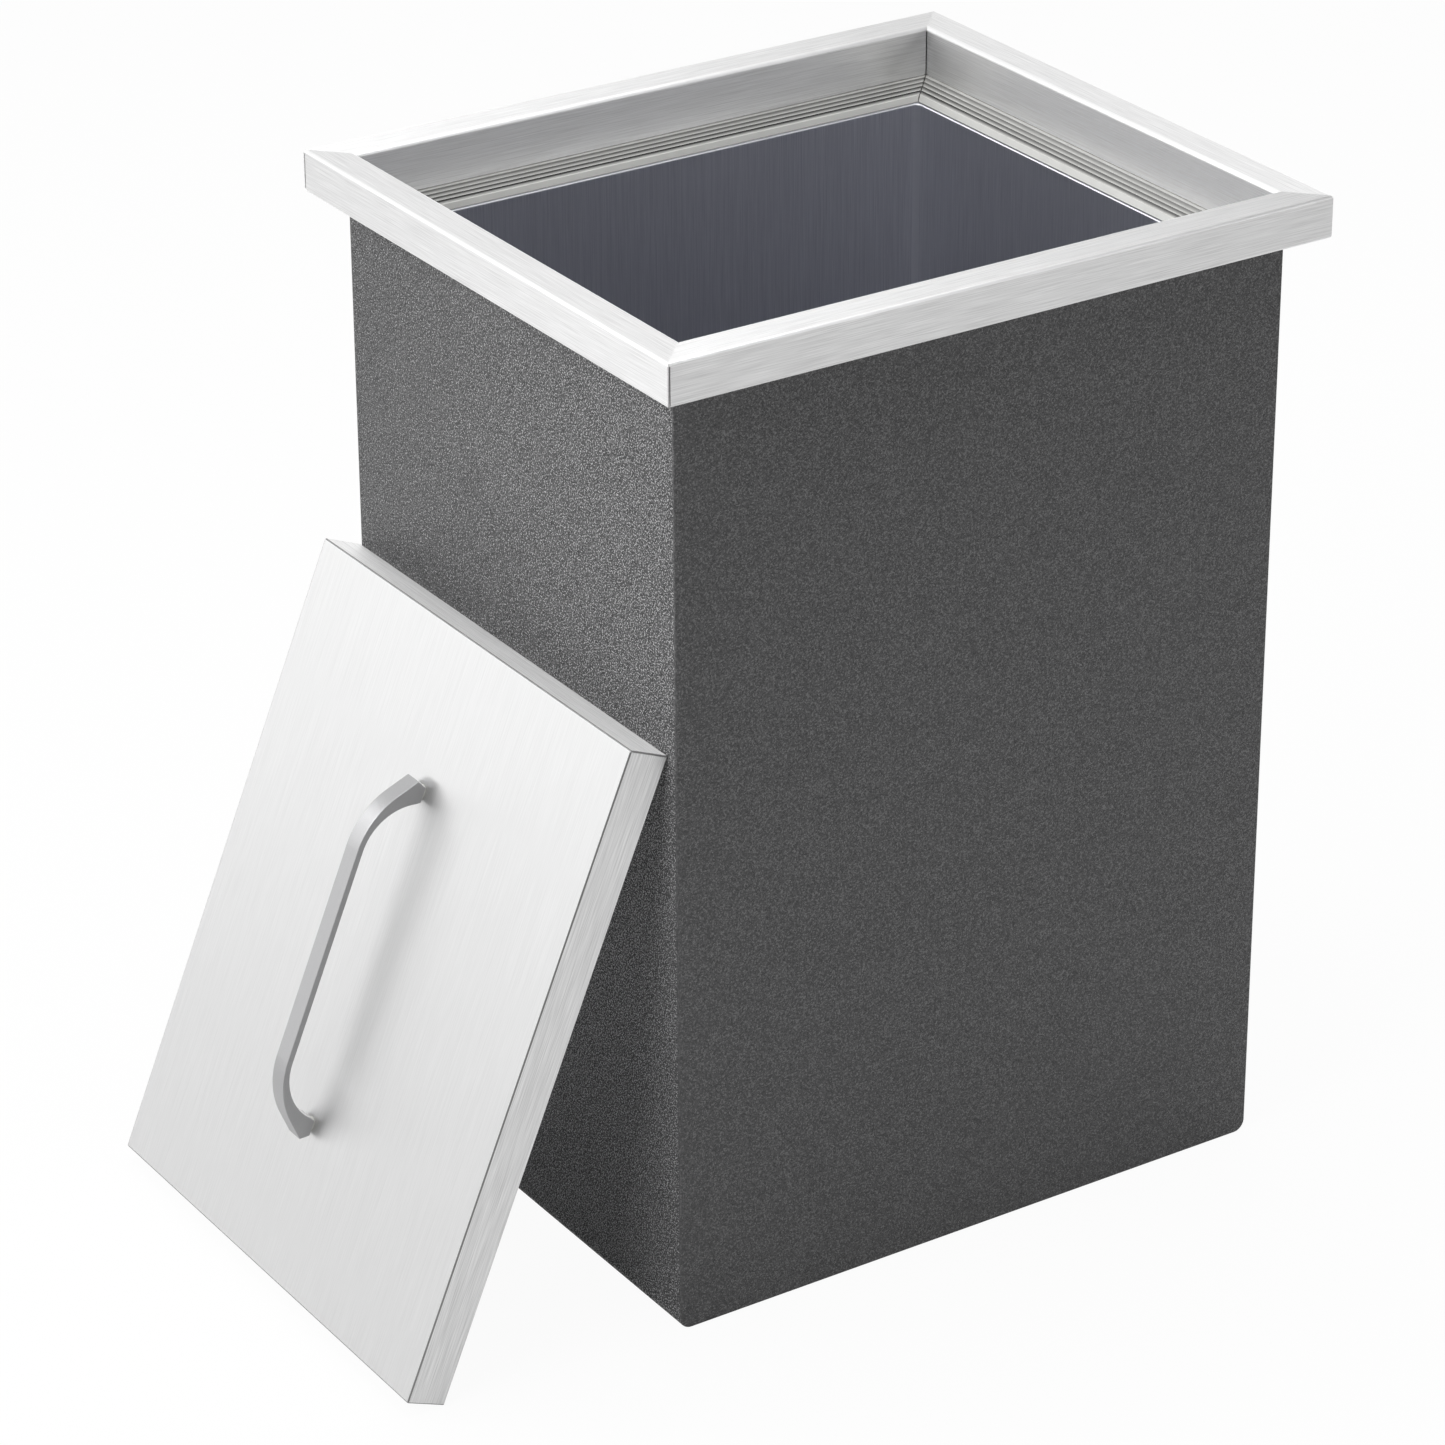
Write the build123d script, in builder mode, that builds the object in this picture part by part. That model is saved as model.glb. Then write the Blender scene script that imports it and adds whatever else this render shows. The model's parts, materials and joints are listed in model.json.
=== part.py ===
"""Drop in ice bin: an insulated stainless well with a drop in lid, a breaker strip and a floor drain.

Millimetres, +Z up. The origin is the centre of the underside, on the drain's axis.
+X runs along the wide front face, +Y from the front to the back.
The lid is off the bin and leans on its left wall, handle outwards.
"""

from build123d import *
import os
from math import cos, pi, radians, sin, tan

os.makedirs("parts", exist_ok=True)

# The bin as a whole
rim_length = 355.6
rim_width = 310.5
bin_height = 490.0

# Rim rails, folded from stainless sheet and mitred at the corners
rim_sheet = 0.8
skirt_height = 20.5
end_flange_width = 18.0
side_flange_width = 19.0
recess_depth = 24.2
skirt_bend_radius = 1.6
opening_bend_radius = 2.2
hem_clearance = 0.3
skirt_seam = 0.5
collar_seam = 0.35

# Outer shell: a wrap bent round the ends and the bottom, closed by two flat panels
end_clearance = 2.8
side_clearance = 0.2
shell_sheet = 1.0
wrap_bend_radius = 6.0
panel_edge_radius = 0.8

# Breaker strip, a fluted plastic extrusion between the collar and the liner
strip_clearance = 0.3
strip_wall = 1.5
strip_band = 2.2
strip_run = 13.0
strip_drop = 3.5
strip_lip_run = 2.0
strip_lip_drop = 3.4
strip_lip_clearance = 0.5
strip_nose_radius = 0.7
strip_flute_count = 4
strip_flute_depth = 0.85
strip_ridge_radius = 0.2
strip_mitre_gap = 0.5

# Inner liner, a stainless tub whose floor falls to the drain
liner_sheet = 0.8
liner_setback = 0.9
liner_flange_overlap = 0.6
liner_corner_radius = 3.2
liner_floor_radius = 2.5
liner_lip_radius = 0.6
floor_height = 28.0
floor_fall = 5.0
drain_seat_margin = 5.0
drain_seat_straight = 2.0

# Floor drain: flanged bush with an internal half inch pipe thread at its lower end
cup_mouth_radius = 15.0
cup_draft = 0.5
cup_wall = 2.5
cup_floor = 2.0
bush_flange_width = 4.5
bush_flange_thickness = 1.6
bush_flange_edge = 0.6
waterway_radius = 7.0
waterway_length = 4.0
socket_radius = 9.32
socket_length = 12.0
barrel_wall = 3.18
barrel_clearance = 0.3
seal_thickness = 1.0
seal_margin = 1.0
seal_clearance = 0.2
locknut_thickness = 5.0
locknut_wall = 4.5
locknut_sides = 6
strainer_thickness = 1.0
strainer_clearance = 0.1
strainer_hole_radius = 1.4
strainer_inner_ring = 5.0
strainer_outer_ring = 10.0
strainer_inner_count = 6
strainer_outer_count = 12

# Drain stopper, moulded rubber with a waisted grip
stopper_clearance = 0.3
stopper_tip_clearance = 2.9
stopper_cap_overlap = 3.0
stopper_cap_thickness = 2.6
stopper_cap_edge = 0.8
stopper_waist_radius = 4.0
stopper_grip_radius = 7.5
stopper_grip_height = 12.0
stopper_waist_height = 3.5
stopper_grip_edge = 1.5

# Lid: an outer pan closed by an inner pan, with foam between them
lid_clearance = 0.8
lid_thickness = 20.0
lid_sheet = 0.8
lid_bend_radius = 0.8
lid_corner_radius = 1.0
lid_hem_width = 9.0
inner_pan_height = 6.0
inner_pan_clearance = 0.2
lid_lean = 22.7
lid_shift = 4.0
lid_rest_clearance = 0.3

# Lid handle: a flat arch pull with thickened ends, held by two screws from inside
handle_spacing = 167.8
handle_width = 10.0
grip_height = 27.0
grip_thickness = 3.0
foot_half_length = 3.85
tip_reach = 2.25
tip_height = 6.57
heel_setback = 0.97
heel_height = 4.06
outer_bend_radius = 40.0
outer_bend_angle = 45.0
inner_bend_angle = 75.0
handle_edge_radius = 0.3
spacer_radius = 3.6
spacer_height = 1.8
screw_radius = 2.0
screw_clearance = 0.2
thread_clearance = 0.05
thread_depth = 6.0
thread_end_clearance = 0.5
screw_head_radius = 3.9
screw_head_height = 2.6
screw_head_edge = 0.8
screw_recess_radius = 1.6
screw_recess_sides = 6
screw_recess_depth = 1.2
washer_radius = 5.0
washer_thickness = 0.8

cut_overrun = 2.0
half_turn = 180.0

# Sizes that follow from the ones above
half_length = rim_length / 2
half_width = rim_width / 2
opening_half_length = half_length - end_flange_width
opening_half_width = half_width - side_flange_width
body_half_length = opening_half_length + rim_sheet + end_clearance + shell_sheet
body_half_width = opening_half_width + rim_sheet + side_clearance + shell_sheet
strip_top = bin_height - recess_depth - strip_clearance
liner_top = strip_top - strip_drop - strip_lip_drop
liner_inset = strip_run + strip_lip_run + liner_setback
liner_length = 2 * (opening_half_length - liner_inset)
liner_width = 2 * (opening_half_width - liner_inset)
floor_edge_height = floor_height + floor_fall
cup_outer_radius = cup_mouth_radius + cup_wall
cup_root_radius = cup_mouth_radius - cup_draft
cup_floor_height = socket_length + waterway_length
bush_flange_radius = cup_outer_radius + bush_flange_width
bush_top = floor_height + seal_thickness + bush_flange_thickness
barrel_radius = socket_radius + barrel_wall
drain_seat_size = 2 * (bush_flange_radius + drain_seat_margin)
locknut_across_flats = 2 * (cup_outer_radius + locknut_wall)
cup_bottom = cup_floor_height - cup_floor


def finish(builder, label):
    """Name a finished piece and write it to its own file."""
    builder.part.label = label
    export_step(builder.part, f"parts/{label}.step")


def mirrored(builder, plane, label):
    """The opposite piece of a symmetric pair."""
    with BuildPart() as twin:
        mirror(builder.part, about=plane)
    finish(twin, label)


def turned(builder, label):
    """The same piece turned half round on the bin's axis."""
    with BuildPart() as twin:
        add(builder.part.rotate(Axis.Z, half_turn))
    finish(twin, label)


def drilled(radius, low, high):
    """Cut a round hole on the drain's axis from one height to another."""
    with BuildSketch(Plane.XY.offset(low)) as hole:
        Circle(radius)
    extrude(hole.sketch, amount=high - low, mode=Mode.SUBTRACT)


def block(corner, opposite, mode=Mode.ADD):
    """A box between two opposite corners, given in either order."""
    low = tuple(min(pair) for pair in zip(corner, opposite))
    size = [abs(a - b) for a, b in zip(corner, opposite)]
    with Locations(low):
        Box(*size, align=(Align.MIN, Align.MIN, Align.MIN), mode=mode)


# Outer shell


with BuildPart() as shell_wrap:
    with BuildSketch(Plane.XZ):
        with BuildLine():
            FilletPolyline(
                (-body_half_length, bin_height - rim_sheet),
                (-body_half_length, 0),
                (body_half_length, 0),
                (body_half_length, bin_height - rim_sheet),
                radius=wrap_bend_radius,
            )
            offset(amount=shell_sheet, side=Side.LEFT)
        make_face()
    extrude(amount=body_half_width - shell_sheet, both=True)
    drilled(barrel_radius + barrel_clearance, -cut_overrun, shell_sheet + cut_overrun)
finish(shell_wrap, "shell_wrap")

panel_top = bin_height - opening_bend_radius
with BuildPart() as shell_front_panel:
    with BuildSketch(Plane.XZ.offset(body_half_width - shell_sheet)):
        with BuildLine():
            FilletPolyline(
                (-body_half_length, panel_top),
                (-body_half_length, 0),
                (body_half_length, 0),
                (body_half_length, panel_top),
                radius=wrap_bend_radius,
            )
            Line((body_half_length, panel_top), (-body_half_length, panel_top))
        make_face()
    extrude(amount=shell_sheet)
    fillet(shell_front_panel.faces().sort_by(Axis.Y)[0].outer_wire().edges(), panel_edge_radius)
finish(shell_front_panel, "shell_front_panel")
mirrored(shell_front_panel, Plane.XZ, "shell_back_panel")


# Rim rails


def rail_profile(flange_width, overhang):
    """Folded section of a rail: hem, skirt, flange and collar, from the rim's outer top edge inwards."""
    with BuildSketch() as section:
        with BuildLine():
            FilletPolyline(
                (overhang - hem_clearance, -skirt_height),
                (0, -skirt_height),
                (0, 0),
                (flange_width, 0),
                (flange_width, -recess_depth),
                radius=[skirt_bend_radius, skirt_bend_radius, opening_bend_radius],
            )
            offset(amount=rim_sheet, side=Side.RIGHT)
        make_face()
    return section.sketch


front_rail_plane = Plane(origin=(0, -half_width, bin_height), x_dir=(0, 1, 0), z_dir=(1, 0, 0))
left_rail_plane = Plane(origin=(-half_length, 0, bin_height), x_dir=(1, 0, 0), z_dir=(0, -1, 0))
front_left_mitre = Plane(
    origin=(-half_length, -half_width, 0), x_dir=(0, 0, 1), z_dir=(side_flange_width, -end_flange_width, 0)
)
front_right_mitre = Plane(
    origin=(half_length, -half_width, 0), x_dir=(0, 0, 1), z_dir=(-side_flange_width, -end_flange_width, 0)
)
back_left_mitre = Plane(
    origin=(-half_length, half_width, 0), x_dir=(0, 0, 1), z_dir=(side_flange_width, end_flange_width, 0)
)
skirt_bottom = bin_height - skirt_height


def skirt_run_on(corner, back):
    """Carry a skirt on past its mitre to the corner, where it covers the raw edge of the rail it meets."""
    block(
        (*corner, skirt_bottom + skirt_bend_radius),
        (*back, bin_height - skirt_bend_radius),
    )


def skirt_cut_back(corner, back):
    """Stop a skirt short of the neighbouring rail, which leaves the open corner seam."""
    block((*corner, skirt_bottom), (*back, bin_height - skirt_bend_radius), mode=Mode.SUBTRACT)


with BuildPart() as rim_rail_front:
    with BuildSketch(front_rail_plane):
        add(rail_profile(side_flange_width, half_width - body_half_width))
    extrude(amount=half_length, both=True)
    split(bisect_by=front_left_mitre, keep=Keep.TOP)
    split(bisect_by=front_right_mitre, keep=Keep.TOP)
    skirt_run_on((half_length, -half_width), (half_length - skirt_bend_radius, -half_width + rim_sheet))
    skirt_cut_back(
        (-half_length, -half_width), (-half_length + rim_sheet + skirt_seam, -half_width + rim_sheet)
    )
    # The collar stops short of its neighbours at both ends
    for end in (-1, 1):
        block(
            (end * half_length, -opening_half_width, bin_height - recess_depth),
            (
                end * (opening_half_length - collar_seam),
                -opening_half_width - rim_sheet,
                bin_height - opening_bend_radius,
            ),
            mode=Mode.SUBTRACT,
        )
finish(rim_rail_front, "rim_rail_front")
turned(rim_rail_front, "rim_rail_back")

with BuildPart() as rim_rail_left:
    with BuildSketch(left_rail_plane):
        add(rail_profile(end_flange_width, half_length - body_half_length))
    extrude(amount=half_width, both=True)
    split(bisect_by=front_left_mitre, keep=Keep.BOTTOM)
    split(bisect_by=back_left_mitre, keep=Keep.BOTTOM)
    skirt_run_on((-half_length, -half_width), (-half_length + rim_sheet, -half_width + skirt_bend_radius))
    skirt_cut_back(
        (-half_length, half_width), (-half_length + rim_sheet, half_width - rim_sheet - skirt_seam)
    )
finish(rim_rail_left, "rim_rail_left")
turned(rim_rail_left, "rim_rail_right")


# Breaker strips


def strip_profile():
    """Section of the strip, from the collar's face inwards and from the strip's top down."""
    foot = -strip_drop - strip_lip_drop
    lip_edge = strip_run + strip_lip_run
    flute = Vector((strip_run - strip_band) / strip_flute_count, -strip_drop / strip_flute_count)
    hollow = Vector(flute.Y, -flute.X).normalized() * strip_flute_depth
    with BuildSketch() as section:
        with BuildLine():
            ridge = Vector(strip_band, 0)
            Line((-rim_sheet, 0), ridge)
            for _ in range(strip_flute_count):
                ThreePointArc(ridge, ridge + flute / 2 + hollow, ridge + flute)
                ridge = ridge + flute
            Polyline(
                ridge,
                (lip_edge, foot + strip_lip_clearance),
                (lip_edge - strip_wall, foot + strip_lip_clearance),
                (strip_run - strip_wall, -strip_drop - strip_wall),
                (strip_wall - rim_sheet, -strip_wall),
                (strip_wall - rim_sheet, foot),
                (-rim_sheet, foot),
                (-rim_sheet, 0),
            )
        make_face()
        crests = section.vertices().filter_by_position(Axis.Y, -strip_drop, 0)
        ridges = crests.filter_by_position(Axis.X, strip_band, strip_run - strip_nose_radius)
        fillet(ridges, strip_ridge_radius)
        nose = section.vertices().sort_by_distance((strip_run, -strip_drop))[0]
        fillet(nose, strip_nose_radius)
    return section.sketch


def mitre_cut(corner_x, corner_y, side_x, side_y):
    """Plane of a square mitre at a corner of the opening, set back by half the mitre gap."""
    outward = Vector(side_x, side_y, 0).normalized()
    return Plane(origin=Vector(corner_x, corner_y, 0) + outward * (strip_mitre_gap / 2), z_dir=outward)


with BuildPart() as breaker_strip_front:
    with BuildSketch(Plane(origin=(0, -opening_half_width, strip_top), x_dir=(0, 1, 0), z_dir=(1, 0, 0))):
        add(strip_profile())
    extrude(amount=opening_half_length + rim_sheet, both=True)
    split(bisect_by=mitre_cut(-opening_half_length, -opening_half_width, 1, -1), keep=Keep.TOP)
    split(bisect_by=mitre_cut(opening_half_length, -opening_half_width, -1, -1), keep=Keep.TOP)
finish(breaker_strip_front, "breaker_strip_front")
mirrored(breaker_strip_front, Plane.XZ, "breaker_strip_back")

with BuildPart() as breaker_strip_left:
    with BuildSketch(Plane(origin=(-opening_half_length, 0, strip_top), x_dir=(1, 0, 0), z_dir=(0, -1, 0))):
        add(strip_profile())
    extrude(amount=opening_half_width + rim_sheet, both=True)
    split(bisect_by=mitre_cut(-opening_half_length, -opening_half_width, -1, 1), keep=Keep.TOP)
    split(bisect_by=mitre_cut(-opening_half_length, opening_half_width, -1, -1), keep=Keep.TOP)
finish(breaker_strip_left, "breaker_strip_left")
mirrored(breaker_strip_left, Plane.YZ, "breaker_strip_right")


# Inner liner and the foam round it


def tub_space(growth):
    """The well's own space, grown all round: straight walls over a floor that falls to the drain seat."""
    with BuildPart() as space:
        with BuildSketch(Plane.XY.offset(floor_edge_height - growth)):
            RectangleRounded(
                liner_length + 2 * growth, liner_width + 2 * growth, liner_corner_radius + growth
            )
        extrude(amount=liner_top - floor_edge_height + growth)
        fillet(space.faces().sort_by(Axis.Z)[0].edges(), liner_floor_radius + growth)
        with BuildSketch(Plane.XY.offset(floor_edge_height - growth)) as floor_edge:
            RectangleRounded(
                liner_length - 2 * liner_floor_radius,
                liner_width - 2 * liner_floor_radius,
                liner_corner_radius - liner_floor_radius,
            )
        with BuildSketch(Plane.XY.offset(floor_height - growth)) as drain_seat:
            RectangleRounded(drain_seat_size, drain_seat_size, (drain_seat_size - drain_seat_straight) / 2)
        loft([floor_edge.sketch.face(), drain_seat.sketch.face()], ruled=True)
    return space.part


with BuildPart() as inner_liner:
    add(tub_space(liner_sheet))
    with BuildSketch(Plane.XY.offset(liner_top - liner_sheet)):
        Rectangle(
            2 * (opening_half_length + liner_flange_overlap), 2 * (opening_half_width + liner_flange_overlap)
        )
    extrude(amount=liner_sheet)
    add(tub_space(0), mode=Mode.SUBTRACT)
    lip = inner_liner.faces().sort_by(Axis.Z)[-1].inner_wires()[0].edges()
    fillet(lip, liner_lip_radius)
    drilled(cup_outer_radius + seal_clearance, 0, floor_height + cut_overrun)
finish(inner_liner, "inner_liner")

with BuildPart() as body_foam:
    with BuildSketch(Plane.XZ):
        with BuildLine():
            FilletPolyline(
                (-body_half_length + shell_sheet, liner_top - liner_sheet),
                (-body_half_length + shell_sheet, shell_sheet),
                (body_half_length - shell_sheet, shell_sheet),
                (body_half_length - shell_sheet, liner_top - liner_sheet),
                radius=wrap_bend_radius - shell_sheet,
            )
            Line(
                (body_half_length - shell_sheet, liner_top - liner_sheet),
                (-body_half_length + shell_sheet, liner_top - liner_sheet),
            )
        make_face()
    extrude(amount=body_half_width - shell_sheet, both=True)
    add(tub_space(liner_sheet), mode=Mode.SUBTRACT)
    liner_underside = floor_height - liner_sheet
    locknut_reach = locknut_across_flats / 2 / cos(pi / locknut_sides)
    drilled(
        locknut_reach + seal_clearance, liner_underside - locknut_thickness - seal_clearance, floor_height
    )
    drilled(cup_outer_radius + seal_clearance, cup_bottom - seal_clearance, floor_height)
    drilled(barrel_radius + barrel_clearance, 0, floor_height)
finish(body_foam, "body_foam")


# Floor drain


with BuildPart() as drain_bush:
    with BuildSketch(Plane.XZ):
        with BuildLine():
            Polyline(
                (socket_radius, 0),
                (barrel_radius, 0),
                (barrel_radius, cup_bottom),
                (cup_outer_radius, cup_bottom),
                (cup_outer_radius, bush_top - bush_flange_thickness),
                (bush_flange_radius, bush_top - bush_flange_thickness),
                (bush_flange_radius, bush_top - bush_flange_edge),
                (bush_flange_radius - bush_flange_edge, bush_top),
                (cup_mouth_radius, bush_top),
                (cup_root_radius, cup_floor_height),
                (waterway_radius, cup_floor_height),
                (waterway_radius, socket_length),
                (socket_radius, socket_length),
                close=True,
            )
        make_face()
    revolve(axis=Axis.Z)
finish(drain_bush, "drain_bush")

with BuildPart() as drain_seal:
    with BuildSketch(Plane.XY.offset(floor_height)):
        Circle(bush_flange_radius - seal_margin)
        Circle(cup_outer_radius + seal_clearance, mode=Mode.SUBTRACT)
    extrude(amount=seal_thickness)
finish(drain_seal, "drain_seal")

with BuildPart() as drain_locknut:
    with BuildSketch(Plane.XY.offset(floor_height - liner_sheet - locknut_thickness)):
        RegularPolygon(locknut_across_flats / 2, locknut_sides, major_radius=False)
        Circle(cup_outer_radius + thread_clearance, mode=Mode.SUBTRACT)
    extrude(amount=locknut_thickness)
finish(drain_locknut, "drain_locknut")

with BuildPart() as drain_strainer:
    with BuildSketch(Plane.XY.offset(cup_floor_height)):
        Circle(cup_root_radius - strainer_clearance)
        Circle(strainer_hole_radius, mode=Mode.SUBTRACT)
        for ring_radius, hole_count in (
            (strainer_inner_ring, strainer_inner_count),
            (strainer_outer_ring, strainer_outer_count),
        ):
            with PolarLocations(ring_radius, hole_count):
                Circle(strainer_hole_radius, mode=Mode.SUBTRACT)
    extrude(amount=strainer_thickness)
finish(drain_strainer, "drain_strainer")

cap_underside = bush_top + stopper_clearance
cap_top = cap_underside + stopper_cap_thickness
stopper_cap_radius = cup_mouth_radius + stopper_cap_overlap
plug_tip = cup_floor_height + strainer_thickness + stopper_tip_clearance
plug_mouth_radius = cup_mouth_radius - stopper_clearance
plug_tip_radius = plug_mouth_radius - cup_draft * (cap_underside - plug_tip) / (bush_top - cup_floor_height)
with BuildPart() as drain_stopper:
    with BuildSketch(Plane.XZ):
        with BuildLine():
            Polyline(
                (0, plug_tip),
                (plug_tip_radius, plug_tip),
                (plug_mouth_radius, cap_underside),
                (stopper_cap_radius, cap_underside),
                (stopper_cap_radius, cap_top - stopper_cap_edge),
                (stopper_cap_radius - stopper_cap_edge, cap_top),
                (stopper_waist_radius, cap_top),
            )
            Spline(
                (stopper_waist_radius, cap_top),
                (stopper_waist_radius, cap_top + stopper_waist_height),
                (stopper_grip_radius, cap_top + stopper_grip_height - stopper_grip_edge),
                tangents=((0, 1), (0, 1)),
            )
            Polyline(
                (stopper_grip_radius, cap_top + stopper_grip_height - stopper_grip_edge),
                (stopper_grip_radius - stopper_grip_edge, cap_top + stopper_grip_height),
                (0, cap_top + stopper_grip_height),
                (0, plug_tip),
            )
        make_face()
    revolve(axis=Axis.Z)
finish(drain_stopper, "drain_stopper")


# Lid


lid_length = 2 * (opening_half_length - lid_clearance)
lid_width = 2 * (opening_half_width - lid_clearance)
lean_sine = sin(radians(lid_lean))
lean_cosine = cos(radians(lid_lean))
upslope = Vector(lean_sine, 0, lean_cosine)
outward = Vector(-lean_cosine, 0, lean_sine)
lid_foot = Vector(
    -body_half_length - lid_rest_clearance - lid_length * lean_sine, lid_shift, lid_rest_clearance
)
# Local axes on the lid: x towards the front of the bin, y up the slope, z out of the handle's side
lid_back = Plane(origin=lid_foot + upslope * (lid_length / 2), x_dir=(0, -1, 0), z_dir=outward)
lid_front = lid_back.offset(lid_thickness)


def lid_layer(length, width, low, high, mode=Mode.ADD):
    """A rectangular layer of the lid between two depths measured from its back."""
    with BuildSketch(lid_back.offset(low)) as layer:
        Rectangle(width, length)
    extrude(layer.sketch, amount=high - low, mode=mode)


def lid_holes(radius, low, high):
    """Cut the two fixing holes of the handle through a layer."""
    with BuildSketch(lid_back.offset(low)) as holes:
        with GridLocations(0, handle_spacing, 1, 2):
            Circle(radius)
    extrude(holes.sketch, amount=high - low, mode=Mode.SUBTRACT)


with BuildPart() as lid_outer_pan:
    lid_layer(lid_length, lid_width, 0, lid_thickness)
    fillet(lid_outer_pan.edges().filter_by(Axis((0, 0, 0), tuple(outward))), lid_corner_radius)
    front_face = lid_outer_pan.faces().sort_by(Axis((0, 0, 0), tuple(outward)))[-1]
    fillet(front_face.outer_wire().edges(), lid_bend_radius)
    lid_layer(
        lid_length - 2 * lid_sheet,
        lid_width - 2 * lid_sheet,
        lid_sheet,
        lid_thickness - lid_sheet,
        mode=Mode.SUBTRACT,
    )
    lid_layer(
        lid_length - 2 * lid_hem_width, lid_width - 2 * lid_hem_width, 0, lid_sheet, mode=Mode.SUBTRACT
    )
    lid_holes(screw_radius + screw_clearance, lid_thickness - lid_sheet, lid_thickness)
finish(lid_outer_pan, "lid_outer_pan")

inner_pan_length = lid_length - 2 * (lid_sheet + inner_pan_clearance)
inner_pan_width = lid_width - 2 * (lid_sheet + inner_pan_clearance)
with BuildPart() as lid_inner_pan:
    lid_layer(inner_pan_length, inner_pan_width, lid_sheet, inner_pan_height)
    lid_layer(
        inner_pan_length - 2 * lid_sheet,
        inner_pan_width - 2 * lid_sheet,
        2 * lid_sheet,
        inner_pan_height,
        mode=Mode.SUBTRACT,
    )
finish(lid_inner_pan, "lid_inner_pan")

washer_seat = lid_thickness - lid_sheet
head_seat = washer_seat - washer_thickness
head_back = head_seat - screw_head_height
with BuildPart() as lid_foam:
    lid_layer(
        inner_pan_length - 2 * lid_sheet, inner_pan_width - 2 * lid_sheet, 2 * lid_sheet, washer_seat
    )
    lid_holes(washer_radius + screw_clearance, head_back - screw_clearance, washer_seat)
finish(lid_foam, "lid_foam")


# Lid handle and its fixings


foot_inner = handle_spacing / 2 - foot_half_length
foot_outer = handle_spacing / 2 + foot_half_length
# The outer bend ends in a straight slope down to the tip, the inner bend at the heel beside the foot
outer_turn = radians(outer_bend_angle)
shoulder_height = grip_height - outer_bend_radius * (1 - cos(outer_turn))
shoulder_reach = foot_outer + tip_reach - (shoulder_height - tip_height) / tan(outer_turn)
outer_bend_start = shoulder_reach - outer_bend_radius * sin(outer_turn)
grip_underside = grip_height - grip_thickness
inner_turn = radians(inner_bend_angle)
inner_bend_radius = (grip_underside - heel_height) / (1 - cos(inner_turn))
inner_bend_start = foot_inner - heel_setback - inner_bend_radius * sin(inner_turn)
with BuildPart() as lid_handle:
    with BuildSketch(Plane(origin=lid_front.origin, x_dir=upslope, z_dir=(0, -1, 0))):
        with BuildLine():
            grip_top = Line((0, grip_height), (outer_bend_start, grip_height))
            outer_bend = JernArc(grip_top @ 1, grip_top % 1, outer_bend_radius, -outer_bend_angle)
            grip_under = Line((0, grip_underside), (inner_bend_start, grip_underside))
            inner_bend = JernArc(grip_under @ 1, grip_under % 1, inner_bend_radius, -inner_bend_angle)
            Polyline(
                outer_bend @ 1,
                (foot_outer + tip_reach, tip_height),
                (foot_outer, spacer_height),
                (foot_inner, spacer_height),
                inner_bend @ 1,
            )
            Line((0, grip_height), (0, grip_underside))
        make_face()
        mirror(about=Plane.YZ)
    extrude(amount=handle_width / 2, both=True)
    long_sides = lid_handle.faces().filter_by(Axis.Y)
    fillet(long_sides.edges(), handle_edge_radius)
    with BuildSketch(lid_front.offset(spacer_height)):
        with GridLocations(0, handle_spacing, 1, 2):
            Circle(screw_radius + thread_clearance)
    extrude(amount=thread_depth, mode=Mode.SUBTRACT)
finish(lid_handle, "lid_handle")

with BuildPart() as handle_spacers:
    with BuildSketch(lid_front):
        with GridLocations(0, handle_spacing, 1, 2):
            Circle(spacer_radius)
            Circle(screw_radius + screw_clearance, mode=Mode.SUBTRACT)
    extrude(amount=spacer_height)
finish(handle_spacers, "handle_spacers")

with BuildPart() as screw_washers:
    with BuildSketch(lid_back.offset(head_seat)):
        with GridLocations(0, handle_spacing, 1, 2):
            Circle(washer_radius)
            Circle(screw_radius + screw_clearance, mode=Mode.SUBTRACT)
    extrude(amount=washer_thickness)
finish(screw_washers, "screw_washers")

with BuildPart() as handle_screws:
    with BuildSketch(lid_back.offset(head_back)):
        with GridLocations(0, handle_spacing, 1, 2):
            Circle(screw_head_radius)
    extrude(amount=screw_head_height)
    head_backs = handle_screws.faces().group_by(Axis((0, 0, 0), tuple(outward)))[0]
    fillet(head_backs.edges(), screw_head_edge)
    with BuildSketch(lid_back.offset(head_back)):
        with GridLocations(0, handle_spacing, 1, 2):
            RegularPolygon(screw_recess_radius, screw_recess_sides)
    extrude(amount=screw_recess_depth, mode=Mode.SUBTRACT)
    with BuildSketch(lid_back.offset(head_seat)):
        with GridLocations(0, handle_spacing, 1, 2):
            Circle(screw_radius)
    extrude(
        amount=washer_thickness + lid_sheet + spacer_height + thread_depth - thread_end_clearance
    )
finish(handle_screws, "handle_screws")
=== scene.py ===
import json
from math import radians

import bpy
import numpy as np
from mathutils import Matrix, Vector


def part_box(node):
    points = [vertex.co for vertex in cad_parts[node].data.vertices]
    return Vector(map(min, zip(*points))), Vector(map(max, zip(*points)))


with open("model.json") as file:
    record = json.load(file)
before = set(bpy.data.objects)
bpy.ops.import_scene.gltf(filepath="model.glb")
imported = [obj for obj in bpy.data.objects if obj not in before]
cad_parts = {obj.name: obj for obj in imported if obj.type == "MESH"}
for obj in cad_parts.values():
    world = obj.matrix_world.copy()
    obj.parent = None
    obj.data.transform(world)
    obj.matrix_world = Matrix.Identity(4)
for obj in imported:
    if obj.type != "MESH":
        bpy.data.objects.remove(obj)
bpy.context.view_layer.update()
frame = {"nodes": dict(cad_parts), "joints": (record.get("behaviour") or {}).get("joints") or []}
nodes = frame["nodes"]


# Outer shell
# A wrap bent round the ends and the bottom, and two flat panels that close it at the front and back.
# Steel sheet, sprayed with a dark grey powder that melts into small pebbles as it is baked.

millimetre = 0.001


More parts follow.
